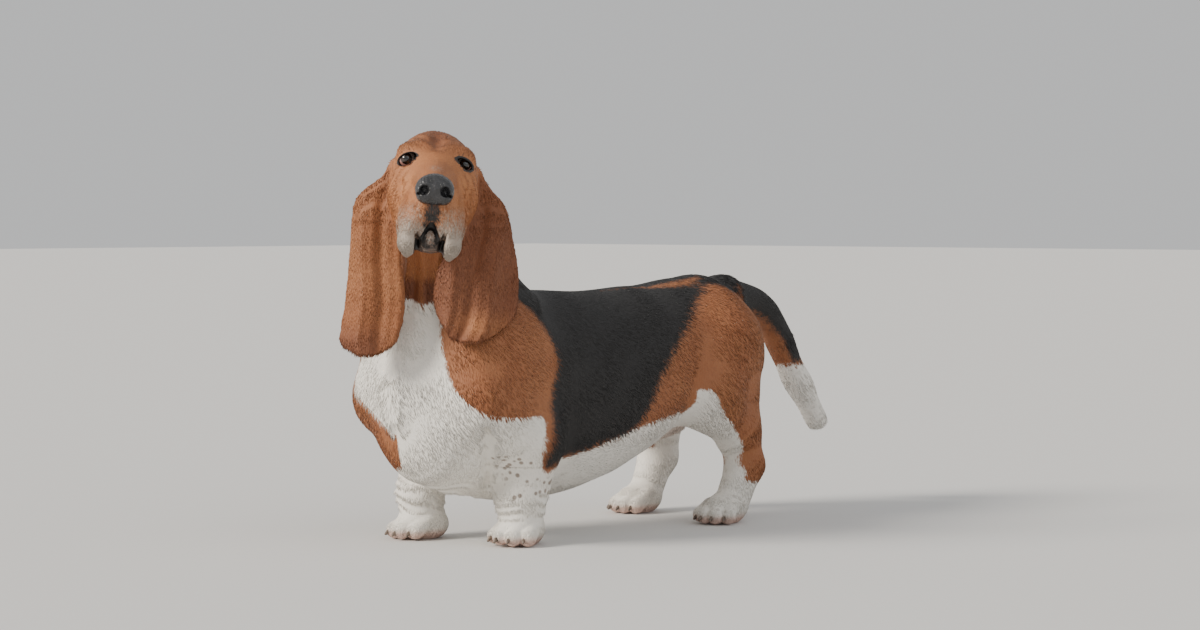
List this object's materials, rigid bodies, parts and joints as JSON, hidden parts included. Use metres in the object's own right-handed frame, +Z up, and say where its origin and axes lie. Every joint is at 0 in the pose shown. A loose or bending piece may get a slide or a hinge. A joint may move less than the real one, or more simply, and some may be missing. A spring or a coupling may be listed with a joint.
{
  "type": "basset hound",
  "caption": "Life-size standing basset hound with its head turned to its left, long hanging ears and a low tail, as a still museum-type model.",
  "frame": {"origin": "middle of the model's bounding box, on the floor that the paws stand on", "axes": "+Z up, -Y the way the body faces, +X towards the dog's own left; the head is turned 48 degrees to +X"},
  "size_m": [0.3592, 1.0622, 0.5877],
  "materials": {
    "tan_coat": "short smooth tan coat, white on the muzzle and throat",
    "ear_coat": "fine velvety rust-brown coat",
    "body_coat": "short dense coat: black blanket, tan shoulders and hips, white chest and belly",
    "white_coat": "short white coat with tan on the upper legs and small tan spots",
    "tail_coat": "coarser coat, black above, tan below, white to the tip",
    "nose_leather": "moist black pebbled nose leather",
    "eye": "wet dark brown eye",
    "claw": "pale horn claw"
  },
  "bodies": {
    "root": {"head": "tan_coat", "nose": "nose_leather", "eye_left": "eye", "eye_right": "eye", "ear_left": "ear_coat", "ear_right": "ear_coat", "neck": "tan_coat", "torso": "body_coat", "leg_front_left": "white_coat", "leg_front_right": "white_coat", "leg_hind_left": "white_coat", "leg_hind_right": "white_coat", "tail": "tail_coat"}
  },
  "joints": []
}
